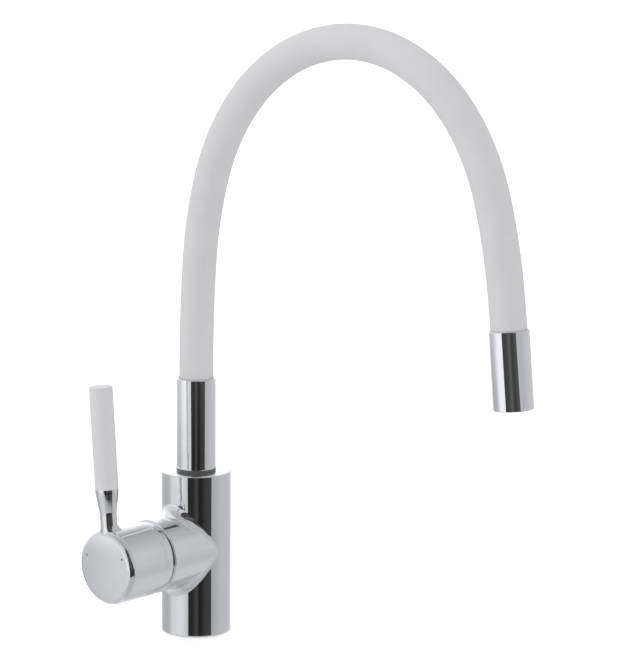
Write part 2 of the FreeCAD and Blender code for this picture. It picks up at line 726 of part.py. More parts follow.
def make_handle_cap():
    """Chromed cap with the lever's neck and the rod inside the grip."""
    outside = ring("cap_outside", "0", "Dim.cap_radius", CAP_BACK, CAP_FRONT)
    round_rings(outside, "Dim.cap_round", [("Dim.cap_radius", CAP_FRONT)])
    neck = lathe("lever_neck", [
        ("0", "Dim.flare_foot + Dim.flare_rise"),
        ("Dim.neck_radius", "Dim.flare_foot + Dim.flare_rise"),
        ("Dim.neck_radius", "Dim.neck_waist_top"),
        ("Dim.grip_radius", "Dim.neck_head_height"),
        ("Dim.grip_radius", "Dim.grip_foot"),
        ("Dim.rod_radius", "Dim.grip_foot"),
        ("Dim.rod_radius", "Dim.rod_top"),
        ("0", "Dim.rod_top"),
    ])
    round_rings(neck, "Dim.neck_round", [("Dim.neck_radius", "Dim.neck_waist_top"),
                                         ("Dim.grip_radius", "Dim.neck_head_height")])
    neck.Placement = lever_frame()
    blank = fuse("cap_blank", outside, fuse("lever", make_neck_flare(), neck))

    lip_bore = "Dim.cap_radius - Dim.cap_lip_wall"
    lip_end = f"{CAP_BACK} + Dim.cap_lip_length"
    bore = "Dim.cap_radius - Dim.cap_wall"
    face_back = f"{CAP_FRONT} - Dim.cap_face_wall"
    hollow = lathe("cap_hollow", [
        ("0", f"{CAP_BACK} - {OVERCUT}"),
        (lip_bore, f"{CAP_BACK} - {OVERCUT}"),
        (lip_bore, lip_end),
        (bore, f"{lip_end} + Dim.cap_wall - Dim.cap_lip_wall"),
        (bore, face_back),
        ("Dim.boss_radius", face_back),
        ("Dim.boss_radius", BOSS_BACK),
        ("0", BOSS_BACK),
    ])
    half_socket = "Dim.spindle_side / 2 + Dim.socket_clearance"
    tools = [
        hollow,
        box("spindle_socket", f"2 * ({half_socket})", f"2 * ({half_socket})",
            f"{SPINDLE_FRONT} - {BOSS_BACK} + {OVERCUT}",
            (f"-({half_socket})", f"-({half_socket})", BOSS_BACK)),
        cylinder("grub_hole", "Dim.grub_radius", f"Dim.boss_radius + {OVERCUT}", along="Y",
                 at=("0", f"-Dim.boss_radius - {OVERCUT}", GRUB_PLACE)),
        cylinder("plug_hole", "Dim.plug_radius", f"Dim.cap_wall + 2 * {OVERCUT}", along="Y",
                 at=("0", f"-Dim.cap_radius - {OVERCUT}", GRUB_PLACE)),
    ]
    tools += [
        cylinder(f"{side}_dot_pocket", "Dim.dot_radius", f"Dim.dot_depth + {OVERCUT}",
                 at=(across, up, f"{CAP_FRONT} - Dim.dot_depth"))
        for side, across, up in dot_places()
    ]
    node(cut("cap", blank, *tools), "handle_cap", handle_frame())


def make_index_dots():
    """Two small inlaid dots on the cap's face."""
    dots = [
        cylinder(f"{side}_dot", "Dim.dot_radius", "Dim.dot_depth",
                 at=(across, up, f"{CAP_FRONT} - Dim.dot_depth"))
        for side, across, up in dot_places()
    ]
    node(compound("dots", dots), "index_dots", handle_frame())


def make_handle_screw():
    """Grub screw that clamps the cap on the spindle, reached from below."""
    end = "-Dim.spindle_side / 2 - Dim.grub_length"
    blank = cylinder("grub_blank", "Dim.grub_radius", "Dim.grub_length", along="Y",
                     at=("0", end, GRUB_PLACE))
    key = cylinder("grub_key", "Dim.grub_key_radius", "Dim.grub_key_depth", along="Y",
                   at=("0", end, GRUB_PLACE))
    node(cut("grub", blank, key), "handle_screw", handle_frame())


def make_screw_plug():
    """Plastic plug in the hole below the grub screw."""
    plug = cylinder("plug", "Dim.plug_radius", "Dim.plug_length", along="Y",
                    at=("0", "-Dim.cap_radius + Dim.plug_sink", GRUB_PLACE))
    node(compound("plug_in_place", [plug]), "handle_screw_plug", handle_frame())


def make_lever_grip():
    """White grip pushed over the rod."""
    grip = lathe("grip", [
        ("Dim.rod_radius", "Dim.grip_foot"),
        ("Dim.grip_radius", "Dim.grip_foot"),
        ("Dim.grip_radius", "Dim.grip_top"),
        ("0", "Dim.grip_top"),
        ("0", "Dim.rod_top"),
        ("Dim.rod_radius", "Dim.rod_top"),
    ])
    round_rings(grip, "Dim.grip_round", [("Dim.grip_radius", "Dim.grip_top")])
    node(grip, "lever_grip", handle_frame() * lever_frame())


def make_spout_spigot():
    """Brass spigot with two seal grooves, a bush seat and the groove for the lock screw."""
    grooves = [
        ("Dim.groove_radius", LOWER_GROOVE, "Dim.groove_width"),
        ("Dim.bush_inner_radius", BUSH_FOOT, "Dim.bush_width"),
        ("Dim.lock_groove_radius", f"{LOCK_HEIGHT} - Dim.lock_groove_width / 2", "Dim.lock_groove_width"),
        ("Dim.groove_radius", UPPER_GROOVE, "Dim.groove_width"),
    ]
    outline = [("Dim.spigot_bore", SPIGOT_END), (SPIGOT, SPIGOT_END)]
    for radius, low, width in grooves:
        outline += [(SPIGOT, low), (radius, low), (radius, f"{low} + {width}"), (SPIGOT, f"{low} + {width}")]
    outline += [
        (SPIGOT, HEAD_BOTTOM),
        (COLLAR_BORE, HEAD_BOTTOM),
        (COLLAR_BORE, HEAD_TOP),
        ("Dim.tail_radius", HEAD_TOP),
        ("Dim.tail_radius", f"{HEAD_TOP} - Dim.tail_length"),
        ("Dim.spigot_bore", f"{HEAD_TOP} - Dim.tail_length"),
    ]
    node(lathe("spigot", outline), "spout_spigot")


def make_spigot_seals():
    """Two rubber rings in the spigot's grooves."""
    thick = f"({SPIGOT} - Dim.seal_gap - Dim.groove_radius) / 2"
    rings = [
        solid("Torus", f"{place}_seal", at=("0", "0", f"{groove} + Dim.groove_width / 2"),
              Radius1=f"Dim.groove_radius + {thick}", Radius2=thick)
        for place, groove in (("lower", LOWER_GROOVE), ("upper", UPPER_GROOVE))
    ]
    node(compound("seals", rings), "spigot_seals")


def make_spigot_bush():
    """Plastic bush that centres the spigot."""
    bush = ring("bush", "Dim.bush_inner_radius", SPIGOT, BUSH_FOOT, f"{BUSH_FOOT} + Dim.bush_width")
    node(bush, "spigot_bush")


def make_collar():
    """Chromed tube at the foot of the flexible neck."""
    tube = ring("collar_tube", COLLAR_BORE, "Dim.collar_radius", HEAD_BOTTOM, COLLAR_TOP)
    ends = [("Dim.collar_radius", HEAD_BOTTOM), ("Dim.collar_radius", COLLAR_TOP)]
    round_rings(tube, "Dim.collar_round", ends)
    node(tube, "collar")


def make_lower_ferrule():
    """Brass end fitting crimped on the neck's core."""
    flange_top = f"{HEAD_TOP} + Dim.ferrule_flange"
    fitting = lathe("lower_fitting", [
        ("Dim.core_bore", f"{HEAD_TOP} - Dim.tail_length"),
        ("Dim.tail_radius", f"{HEAD_TOP} - Dim.tail_length"),
        ("Dim.tail_radius", HEAD_TOP),
        (COLLAR_BORE, HEAD_TOP),
        (COLLAR_BORE, flange_top),
        ("Dim.ferrule_radius", flange_top),
        ("Dim.ferrule_radius", SLEEVE_FOOT),
        ("Dim.core_radius", SLEEVE_FOOT),
        ("Dim.core_radius", CORE_FOOT),
        ("Dim.core_bore", CORE_FOOT),
    ])
    node(fitting, "lower_ferrule")


def neck_links():
    """(length, turn) of each link from the collar to the nozzle, in millimetres and degrees."""
    link = value_of("Dim.link_length")
    lengths = [link] * len(TURNS)
    lengths[0] = link / 2 + value_of("Dim.sleeve_tuck")
    lengths[-1] = link / 2 + value_of("Dim.nozzle_tuck")
    return [(length, value_of(f"Dim.turn_{turn}")) for length, turn in zip(lengths, TURNS)]


def along_arc(distance, length, turn):
    """Frame at a distance along a link's arc, which starts up Z and turns towards X."""
    radius = length / math.radians(turn)
    angle = turn * distance / length
    bent = math.radians(angle)
    point = FreeCAD.Vector(radius * (1 - math.cos(bent)), 0, radius * math.sin(bent))
    return FreeCAD.Placement(point, FreeCAD.Rotation(Y_AXIS, angle))


def neck_frames():
    """Frame at the start of each link, and last the frame at the sleeve's end."""
    frames = [FreeCAD.Placement(FreeCAD.Vector(0, 0, value_of(SLEEVE_FOOT)), FreeCAD.Rotation())]
    for length, turn in neck_links():
        frames.append(frames[-1] * along_arc(length, length, turn))
    return frames


def bent_tube(name, outer, inner, length, turn, start, stop):
    """A tube along part of a link's arc, as a ring turned about the bend's centre."""
    face = doc.addObject("Sketcher::SketchObject", name + "_face")
    for radius in (outer, inner):
        circle = face.addGeometry(Part.Circle(FreeCAD.Vector(), Z_AXIS, value_of(radius)))
        face.addConstraint(Sketcher.Constraint("Coincident", circle, 3, -1, 1))
        size = face.addConstraint(Sketcher.Constraint("Radius", circle, value_of(radius)))
        face.setExpression(f"Constraints[{size}]", radius)
    face.Visibility = False
    tube = doc.addObject("Part::Revolution", name)
    tube.Source = face
    tube.Axis = Y_AXIS
    tube.Base = FreeCAD.Vector(length / math.radians(turn), 0, 0)
    tube.Angle = turn * (stop - start) / length
    tube.Solid = True
    return tube


def straight_tube(name, outer, inner, length, low):
    """A straight tube along Z from a height given in millimetres."""
    outside = cylinder(name + "_outside", outer, length, at=("0", "0", low))
    hole = cylinder(name + "_hole", inner, length, at=("0", "0", low))
    return cut(name, outside, hole)


def make_neck():
    """Silicone sleeve and shape-holding core of every link."""
    frames = neck_frames()
    links = neck_links()
    gap = value_of("Dim.core_gap")
    for i, (length, turn) in enumerate(links):
        sleeve = bent_tube(f"sleeve_bend_{i}", "Dim.sleeve_radius", "Dim.core_radius",
                           length, turn, 0, length)
        node(sleeve, f"neck_sleeve_{i}", frames[i])
        start = 0 if i == 0 else gap
        stop = length if i == len(links) - 1 else length - gap
        core = bent_tube(f"core_bend_{i}", "Dim.core_radius", "Dim.core_bore", length, turn, start, stop)
        core.Placement = frames[i] * along_arc(start, length, turn)
        if i == 0:
            core = fuse("core_root", core, straight_tube("core_foot", "Dim.core_radius", "Dim.core_bore",
                                                         f"{SLEEVE_FOOT} - {CORE_FOOT}", CORE_FOOT))
        if i == len(links) - 1:
            end = straight_tube("core_tip", "Dim.core_radius", "Dim.core_bore", "Dim.core_nozzle_tuck", "0")
            end.Placement = frames[-1]
            core = fuse("core_end", core, end)
        node(core, f"neck_core_{i}")


def make_nozzle_shell(frame):
    """Chromed shell of the nozzle."""
    bottom = "Dim.nozzle_length - Dim.nozzle_tuck"
    shell = ring("nozzle_tube", NOZZLE_BORE, "Dim.nozzle_radius", "-Dim.nozzle_tuck", bottom)
    ends = [("Dim.nozzle_radius", "-Dim.nozzle_tuck"), ("Dim.nozzle_radius", bottom)]
    round_rings(shell, "Dim.nozzle_round", ends)
    node(shell, "nozzle_shell", frame)


def make_nozzle_inside(frame):
    """Hose end fitting, adapter and aerator, from the sleeve's end down to the outlet."""
    body_end = "Dim.crimp_length + Dim.crimp_body_length"
    tail_end = f"{body_end} + Dim.nozzle_tail_length"
    node(lathe("upper_fitting", [
        ("Dim.core_radius", "0"),
        ("Dim.crimp_radius", "0"),
        ("Dim.crimp_radius", body_end),
        ("Dim.tail_radius", body_end),
        ("Dim.tail_radius", tail_end),
        ("Dim.core_bore", tail_end),
        ("Dim.core_bore", "Dim.core_nozzle_tuck"),
        ("Dim.core_radius", "Dim.core_nozzle_tuck"),
    ]), "upper_ferrule", frame)
    adapter_low = f"{body_end} + Dim.adapter_gap"
    adapter_high = f"{adapter_low} + Dim.adapter_length"
    cup_floor = f"{adapter_high} - Dim.adapter_cup_depth"
    node(lathe("adapter", [
        ("Dim.tail_radius", adapter_low),
        (NOZZLE_BORE, adapter_low),
        (NOZZLE_BORE, adapter_high),
        ("Dim.adapter_cup_radius", adapter_high),
        ("Dim.adapter_cup_radius", cup_floor),
        ("Dim.tail_radius", cup_floor),
    ]), "nozzle_adapter", frame)
    housing_low = f"{adapter_high} + Dim.aerator_gasket_thickness"
    housing_high = "Dim.nozzle_length - Dim.nozzle_tuck - Dim.aerator_sink"
    bore = f"{NOZZLE_BORE} - Dim.aerator_wall"
    lip_foot = f"{housing_high} - Dim.aerator_lip_height"
    node(ring("aerator_seal", "Dim.adapter_cup_radius", NOZZLE_BORE, adapter_high, housing_low),
         "aerator_gasket", frame)
    node(lathe("aerator_cup", [
        (bore, housing_low),
        (NOZZLE_BORE, housing_low),
        (NOZZLE_BORE, housing_high),
        (f"{bore} - Dim.aerator_lip", housing_high),
        (f"{bore} - Dim.aerator_lip", lip_foot),
        (bore, lip_foot),
    ]), "aerator_housing", frame)
    regulator_high = f"{housing_low} + Dim.regulator_thickness"
    node(ring("regulator", "Dim.regulator_bore", bore, housing_low, regulator_high), "flow_regulator", frame)
    screen_low = f"{lip_foot} - Dim.screen_thickness"
    blank = cylinder("screen_blank", bore, "Dim.screen_thickness", at=("0", "0", screen_low))
    holes = []
    for step, count in SCREEN_RINGS:
        for i in range(count):
            turn = f"{360 * i / count} deg"
            across = f"{step} * Dim.screen_pitch * cos({turn})"
            up = f"{step} * Dim.screen_pitch * sin({turn})"
            holes.append(cylinder(f"screen_hole_{step}_{i}", "Dim.screen_hole_radius",
                                  "Dim.screen_thickness", at=(across, up, screen_low)))
    node(cut("screen", blank, *holes), "aerator_screen", frame)


def check(items):
    """Stop if any object failed or any sub-part has no sound solid."""
    for item in doc.Objects:
        if "Invalid" in item.State or "Error" in item.State:
            raise RuntimeError(f"{item.Name} is {item.State}")
    for item in items:
        shape = item.Shape
        if shape.isNull() or not shape.isValid() or not shape.Solids:
            raise RuntimeError(f"{item.Label} has no sound solid")


def check_neck():
    """Compare each tube of the neck with its section times its length."""
    area = math.pi * (value_of("Dim.sleeve_radius") ** 2 - value_of("Dim.core_radius") ** 2)
    for i, (length, turn) in enumerate(neck_links()):
        sleeve = next(item for item in nodes if item.Label == f"neck_sleeve_{i}")
        radius = length / math.radians(turn)
        ratio = sleeve.Shape.Volume / (area * length)
        print(f"link {i}: bend radius {radius:.0f} mm, volume ratio {ratio:.5f}")


make_body_casting()
make_base_seal()
make_lock_screw()
make_swivel_ring()
make_cartridge_base()
make_port_gaskets()
make_cartridge_housing()
make_fixed_disc()
make_cartridge_nut()
make_dome_ring()
make_cartridge_carrier()
make_pivot_pin()
make_moving_disc()
make_disc_carrier()
make_lever_spindle()
make_handle_cap()
make_index_dots()
make_handle_screw()
make_screw_plug()
make_lever_grip()
make_spout_spigot()
make_spigot_seals()
make_spigot_bush()
make_collar()
make_lower_ferrule()
make_neck()
nozzle_frame = neck_frames()[-1]
make_nozzle_shell(nozzle_frame)
make_nozzle_inside(nozzle_frame)
doc.recompute()
check(nodes)
check_neck()

os.makedirs("parts", exist_ok=True)
for item in nodes:
    item.Shape.exportStep(f"parts/{item.Label}.step")
print(f"{len(nodes)} sub-parts written")
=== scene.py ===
import json
import math

import bpy
import numpy as np
from mathutils import Matrix, Vector


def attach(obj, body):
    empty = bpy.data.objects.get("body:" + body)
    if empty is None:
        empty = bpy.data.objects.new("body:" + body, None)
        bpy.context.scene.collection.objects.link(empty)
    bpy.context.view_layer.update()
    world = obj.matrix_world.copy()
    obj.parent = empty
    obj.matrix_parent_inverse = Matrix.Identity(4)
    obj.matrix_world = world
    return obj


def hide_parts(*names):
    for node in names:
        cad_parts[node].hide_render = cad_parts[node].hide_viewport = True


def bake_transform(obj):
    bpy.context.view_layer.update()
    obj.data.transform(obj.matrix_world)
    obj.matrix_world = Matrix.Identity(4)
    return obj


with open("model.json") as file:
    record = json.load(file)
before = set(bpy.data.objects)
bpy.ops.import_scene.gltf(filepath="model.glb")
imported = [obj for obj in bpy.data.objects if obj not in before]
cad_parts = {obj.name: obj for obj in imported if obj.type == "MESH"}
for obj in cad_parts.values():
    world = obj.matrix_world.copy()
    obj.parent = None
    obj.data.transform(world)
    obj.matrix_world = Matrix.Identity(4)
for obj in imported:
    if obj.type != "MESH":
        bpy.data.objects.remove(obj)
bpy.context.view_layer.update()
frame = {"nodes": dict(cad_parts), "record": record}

# Sizes of the object in millimetres and degrees, as in its solids: they steer the shading and the neck.
MM = 0.001
BODY_RADIUS = 24.0
BODY_HEIGHT = 113.5
BASE_ROUND = 1.5
TOP_ROUND = 0.6
BASE_RECESS = 19.0
SPIGOT_SOCKET = 10.1
ARM_HEIGHT = 60.0
ARM_ROOT = 23.8
ARM_RIM = 25.4
ARM_REACH = 45.0
ARM_GROWTH = (ARM_RIM - ARM_ROOT) / ARM_REACH
RIM_ROUND = 0.5
RIM_BORE = 23.6
CARTRIDGE_BORE = 17.7
NUT_BORE = 18.9
JUNCTION_ROUND = 8.0
PIVOT_REACH = 50.5
DOME_RADIUS = 24.8
DOME_FOOT = 44.0
DOME_ROUND = 4.0
DOME_BORE = 18.3
CAP_RADIUS = 25.7
CAP_LIP_BORE = 25.1
CAP_BORE = 23.2
CAP_BOSS = 8.0
CAP_FRONT = 87.1
CAP_ROUND = 4.4
HANDLE_TURN = 4.5
LEVER_LINE = 81.0
LEVER_RADIUS = 5.75
LEVER_WAIST = 36.5
LEVER_HEAD = 51.0
LEVER_ROUND = 14.0
FLARE_FOOT = 21.0
FLARE_RISE = 7.5
FLARE_SPREAD = 5.0
GRIP_RADIUS = 7.95
GRIP_TOP = 122.6
GRIP_ROUND = 1.0
RING_RADIUS = 13.6
COLLAR_RADIUS = 13.5
COLLAR_FOOT = 115.25
COLLAR_TOP = 178.3
COLLAR_ROUND = 0.4
COLLAR_BORE = 12.0
NOZZLE_RADIUS = 12.9
NOZZLE_BORE = 11.9
NOZZLE_LENGTH = 50.0
NOZZLE_TUCK = 8.0
NOZZLE_ROUND = 0.4
SLEEVE_RADIUS = 11.6
SLEEVE_BORE = 8.0
SLEEVE_FOOT = 165.0
SLEEVE_TUCK = 13.3
LINK = 55.3
TURNS = [1.1, 3.9, 11.6, 20.9, 23.3, 24.7, 27.1, 27.3, 23.1, 8.9, 2.4]

# Exact shading: a face belongs to a curved surface if all its corners lie on it within the tolerance in
# millimetres, and if the cosine between the two is above the agreement. Where a surface ends, its distance
# is given as far off.
SKIN_TOLERANCE = 0.06
SKIN_AGREEMENT = 0.8
FAR_OFF = 9.0
TINY = 1e-9
# The cap's flat face is shaded like a ball of this radius.
CROWN_REACH = 650.0
# How the lever's root narrows, as shares of its rise and of its spread, the power of that curve, and the
# shares of the rise between which it is used.
FLARE_SHAPE = [(0.0, 1.0), (0.4, 0.5), (0.7, 0.14), (1.0, 0.0)]
FLARE_POWER = 1.6
FLARE_LIMITS = (-0.5, 1.02)
# The rolling ball's path round the junction: its points, a first guess in millimetres of how far it stands
# off, and the rounds that find it. Mesh points are compared with it in batches.
JUNCTION_STEPS = 1441
JUNCTION_GUESS = 20.0
JUNCTION_ROUNDS = 30
BATCH = 4000

# Mesh of the sleeve: distance between its rings, points round each, the least angle of a sharp edge, and how far
# to both sides of its joint the points for each stretch's two bodies lie.
SLEEVE_SPACING = 2.2
SLEEVE_SIDES = 72
SLEEVE_EDGE = 50.0
BEND_HALF = 22.0
# Joints whose two bodies are named in the other order.
BACKWARD_JOINTS = (7,)

# Materials: a noise's useful range, its coarseness, and the depth of fine bumps in metres.
NOISE_RANGE = (0.3, 0.7)
NOISE_ROUGHNESS = 0.55
BUMP_DEPTH = 0.0002

# Light: the share of it that the chrome gives back. Directions round the object are in degrees, from -Y
# towards +X, and brightness is a display value from 0 to 255.
CHROME_SHARE = 0.88
CAMERA_SIDE = 44.65
# The dark card: its distances in metres at both ends, and its columns.
CARD_DISTANCES = (0.906, 1.5)
CARD_COLUMNS = 60
# Its lower edge's elevation by direction, and its brightness by direction from the camera's side.
CARD_FOOT = [(19, -20.6), (31, -20.9), (45, -20.97), (61, -20.82), (78, -20.42), (96, -20.1)]
CARD_SHADES = [(-45, 38), (-27, 36), (-9, 40), (-6, 56), (4, 64), (8, 40), (10, 34), (18, 34), (27, 52),
               (36, 58), (60, 66)]
# Its rows: elevation (the first row is the lower edge), direction of both ends, and how much lighter it is.
CARD_ROWS = [(None, 19.0, 96.0, 0), (-14.0, 18.6, 96.0, 0), (-9.0, 16.5, 97.0, 0), (-3.8, 14.0, 98.0, 16),
             (0.8, 14.0, 82.0, 24), (12.0, 14.0, 76.0, 28), (22.0, 14.0, 64.0, 28), (32.0, 18.0, 58.0, 28),
             (45.0, 26.0, 52.0, 28)]
# The room that the chrome mirrors: bands of brightness by direction from the camera's side, lowest first.
GROUND = [(-180, 225), (-165, 213), (-150, 204), (-115, 196), (-46, 186), (-13, 172), (40, 172), (90, 188),
          (98, 193), (121, 195), (155, 184), (167, 205), (180, 228)]
BENCH = [(-180, 250), (-170, 226), (-160, 208), (-150, 192), (-140, 176), (-125, 170), (-110, 170), (-97, 182),
         (-88, 205), (-80, 205), (-70, 208), (-60, 212), (-50, 211), (-40, 206), (-30, 186), (45, 165),
         (61, 165), (71, 173), (81, 178), (91, 183), (102, 185), (121, 183), (141, 187), (151, 197), (161, 210),
         (171, 226), (180, 250)]
ROOM = [(-180, 252), (-165, 238), (-146, 212), (-134, 199), (-122, 196), (-109, 202), (-98, 212), (-88, 228),
        (-78, 238), (-60, 240), (-50, 230), (-43, 214), (-33, 196), (45, 174), (56, 175), (76, 181), (96, 187),
        (116, 190), (136, 197), (156, 212), (170, 234), (180, 252)]
WALL = [(-180, 252), (-154, 250), (-143, 246), (-131, 230), (-115, 215), (-90, 205), (-50, 205), (-20, 194),
        (28, 190), (42, 176), (56, 176), (76, 183), (91, 192), (116, 192), (136, 197), (156, 212), (170, 234),
        (180, 252)]
CEILING = [(-180, 228), (-131, 227), (-112, 220), (-90, 180), (-53, 168), (60, 170), (102, 182), (114, 176),
           (130, 170), (147, 160), (161, 166), (172, 212), (180, 228)]
# Each higher band, with the heights of the direction between which it takes over from the one below.
HIGHER_BANDS = [(-0.55, -0.38, BENCH), (-0.235, -0.188, ROOM), (-0.12, 0.0, WALL), (0.4, 0.62, CEILING)]
ROOM_TINT = (0.991, 1.0, 1.028, 1.0)
SOFT_LIGHT = 0.87
WHITE = (1.0, 1.0, 1.0, 1.0)


def add_object(name, data):
    """A new object in the scene."""
    thing = bpy.data.objects.new(name, data)
    bpy.context.scene.collection.objects.link(thing)
    return thing


def between(place, stops):
    """The value at a place between listed stops."""
    return np.interp(place, [stop[0] for stop in stops], [stop[1] for stop in stops])


def make_camera():
    """Camera at the photograph's viewing angle, fitted to the object's outline."""
    data = bpy.data.cameras.new("photo_camera")
    data.lens = 161.71
    data.sensor_width = 36.0
    data.sensor_fit = "AUTO"
    data.clip_start = 0.05
    data.clip_end = 50.0
    data.dof.use_dof = False
    camera = add_object("photo_camera", data)
    right = Vector((0.738488, 0.674224, 0.007577))
    up = Vector((-0.123886, 0.124631, 0.984439))
    back = Vector((0.662788, -0.727935, 0.175565))
    place = Vector((1.404102, -1.421442, 0.568013))
    turn = Matrix((right, up, back)).transposed().to_4x4()
    camera.matrix_world = Matrix.Translation(place) @ turn
    bpy.context.scene.camera = camera


# Materials

def new_material(name):
    """An empty node material and its tree."""
    material = bpy.data.materials.new(name)
    material.use_nodes = True
    tree = material.node_tree
    tree.nodes.clear()
    return material, tree


def noise(tree, scale, detail=3.0):
    """Noise in the object's own coordinates, scale per metre."""
    place = tree.nodes.new("ShaderNodeTexCoord").outputs["Object"]
    texture = tree.nodes.new("ShaderNodeTexNoise")
    texture.inputs["Scale"].default_value = scale
    texture.inputs["Detail"].default_value = detail
    texture.inputs["Roughness"].default_value = NOISE_ROUGHNESS
    tree.links.new(place, texture.inputs["Vector"])
    return texture.outputs["Fac"]


def spread(tree, value, low, high):
    """Stretch a noise value over a range."""
    node = tree.nodes.new("ShaderNodeMapRange")
    node.inputs["From Min"].default_value = NOISE_RANGE[0]
    node.inputs["From Max"].default_value = NOISE_RANGE[1]
    node.inputs["To Min"].default_value = low
    node.inputs["To Max"].default_value = high
    tree.links.new(value, node.inputs["Value"])
    return node.outputs["Result"]


def surface(name, colours, metallic, roughness, scale, bump=0.0, bump_scale=1000.0):
    """A finish whose colour and roughness vary a little over the surface, with a fine bump if one is given."""
    material, tree = new_material(name)
    shader = tree.nodes.new("ShaderNodeBsdfPrincipled")
    output = tree.nodes.new("ShaderNodeOutputMaterial")
    tree.links.new(shader.outputs["BSDF"], output.inputs["Surface"])
    cloud = noise(tree, scale)
    mix = tree.nodes.new("ShaderNodeMix")
    mix.data_type = "RGBA"
    mix.inputs["A"].default_value = (*colours[0], 1.0)
    mix.inputs["B"].default_value = (*colours[1], 1.0)
    tree.links.new(spread(tree, cloud, 0.0, 1.0), mix.inputs["Factor"])
    tree.links.new(mix.outputs["Result"], shader.inputs["Base Color"])
    smudge = noise(tree, scale * 3.0)
    tree.links.new(spread(tree, smudge, *roughness), shader.inputs["Roughness"])
    shader.inputs["Metallic"].default_value = metallic
    if bump > 0.0:
        bumps = tree.nodes.new("ShaderNodeBump")
        bumps.inputs["Strength"].default_value = bump
        bumps.inputs["Distance"].default_value = BUMP_DEPTH
        tree.links.new(noise(tree, bump_scale, detail=4.0), bumps.inputs["Height"])
        tree.links.new(bumps.outputs["Normal"], shader.inputs["Normal"])
    return material


CHROME = surface("chrome", [(0.86, 0.87, 0.88), (0.90, 0.905, 0.91)], 1.0, (0.03, 0.07), 60.0)
SILICONE = surface("white_silicone", [(0.680, 0.675, 0.695), (0.710, 0.705, 0.725)], 0.0, (0.5, 0.62), 45.0,
                   bump=0.12, bump_scale=2600.0)
GRIP = surface("white_grip", [(0.70, 0.695, 0.715), (0.73, 0.725, 0.745)], 0.0, (0.36, 0.46), 50.0,
               bump=0.05, bump_scale=3200.0)
STEEL = surface("steel", [(0.50, 0.50, 0.49), (0.60, 0.60, 0.60)], 1.0, (0.28, 0.42), 90.0, bump=0.05)
BRASS = surface("brass", [(0.62, 0.47, 0.22), (0.72, 0.56, 0.29)], 1.0, (0.26, 0.42), 80.0, bump=0.08)
BLACK_PLASTIC = surface("black_plastic", [(0.012, 0.012, 0.013), (0.022, 0.022, 0.023)], 0.0, (0.38, 0.52), 90.0,
                        bump=0.1, bump_scale=2500.0)
GREY_PLASTIC = surface("grey_plastic", [(0.25, 0.25, 0.26), (0.31, 0.31, 0.32)], 0.0, (0.42, 0.55), 80.0,
                       bump=0.1, bump_scale=2200.0)
CERAMIC = surface("ceramic", [(0.74, 0.73, 0.70), (0.80, 0.79, 0.77)], 0.0, (0.12, 0.22), 70.0)
RING_PLASTIC = surface("ring_plastic", [(0.10, 0.10, 0.103), (0.125, 0.125, 0.128)], 0.0, (0.2, 0.3), 90.0,
                       bump=0.05, bump_scale=2500.0)
RUBBER = surface("black_rubber", [(0.018, 0.018, 0.018), (0.03, 0.03, 0.03)], 0.0, (0.65, 0.8), 100.0,
                 bump=0.2, bump_scale=2000.0)
DOTS = surface("dot_grey", [(0.185, 0.195, 0.225), (0.225, 0.235, 0.265)], 0.0, (0.35, 0.5), 900.0)

FINISHES = {
    "chrome": CHROME, "white_silicone": SILICONE, "white_grip": GRIP, "steel": STEEL, "brass": BRASS,
    "black_plastic": BLACK_PLASTIC, "grey_plastic": GREY_PLASTIC, "ceramic": CERAMIC,
    "black_rubber": RUBBER, "dot_grey": DOTS,
}


def dress(thing, material):
    """Give every face of an object this material."""
    slots = thing.data.materials
    if len(slots) == 0:
        slots.append(material)
    for i in range(len(slots)):
        slots[i] = material


def dress_frame():
    """Give every carried-over node the finish that the record names for it."""
    for entry in frame["record"]["subparts"]:
        dress(frame["nodes"][entry["node"]], FINISHES[entry["material_slot"]])


# Exact shading: a skin is a function of points in millimetres. It gives how far each one lies off a curved
# surface, and the surface's direction there.

def to_local(place, points):
    """Points in a skin's own frame."""
    matrix = np.array(place.inverted(), float)
    return points @ matrix[:3, :3].T + matrix[:3, 3]


def to_world(place, vectors):
    """Directions back from a skin's own frame."""
    return vectors @ np.array(place, float)[:3, :3].T


def around(local, across, along):
    """Directions that lean out from the Z axis by across and up it by along."""
    rho = np.maximum(np.hypot(local[:, 0], local[:, 1]), TINY)
    return np.stack((local[:, 0] / rho * across, local[:, 1] / rho * across, along * np.ones(len(local))), 1)


def unit(vectors):
    """The same directions, each of length one."""
    return vectors / np.maximum(np.linalg.norm(vectors, axis=1), TINY)[:, None]


def tube_skin(place, radius, side=1.0, growth=0.0):
    """A round wall, or a cone whose radius grows along Z. Side -1 is the wall of a bore."""
    lean = math.sqrt(1.0 + growth * growth)

    def skin(points):
        local = to_local(place, points)
        gap = (np.hypot(local[:, 0], local[:, 1]) - radius - growth * local[:, 2]) / lean
        return gap, to_world(place, around(local, side / lean, -side * growth / lean))
    return skin


def ring_skin(place, major, height, minor, side=1.0):
    """A rounding that runs round the Z axis. Side -1 is a hollow one."""
    def skin(points):
        local = to_local(place, points)
        across = np.hypot(local[:, 0], local[:, 1]) - major
        along = local[:, 2] - height
        reach = np.maximum(np.hypot(across, along), TINY)
        return reach - minor, to_world(place, around(local, side * across / reach, side * along / reach))
    return skin


def ball_skin(place, radius):
    """A ball about the frame's origin."""
    def skin(points):
        local = to_local(place, points)
        return np.linalg.norm(local, axis=1) - radius, to_world(place, unit(local))
    return skin


def crown_skin(place, height, reach):
    """An end face that is shaded as if crowned by a degree or two."""
    def skin(points):
        local = to_local(place, points)
        lean = np.stack((local[:, 0] / reach, local[:, 1] / reach, np.ones(len(local))), 1)
        return local[:, 2] - height, to_world(place, unit(lean))
    return skin


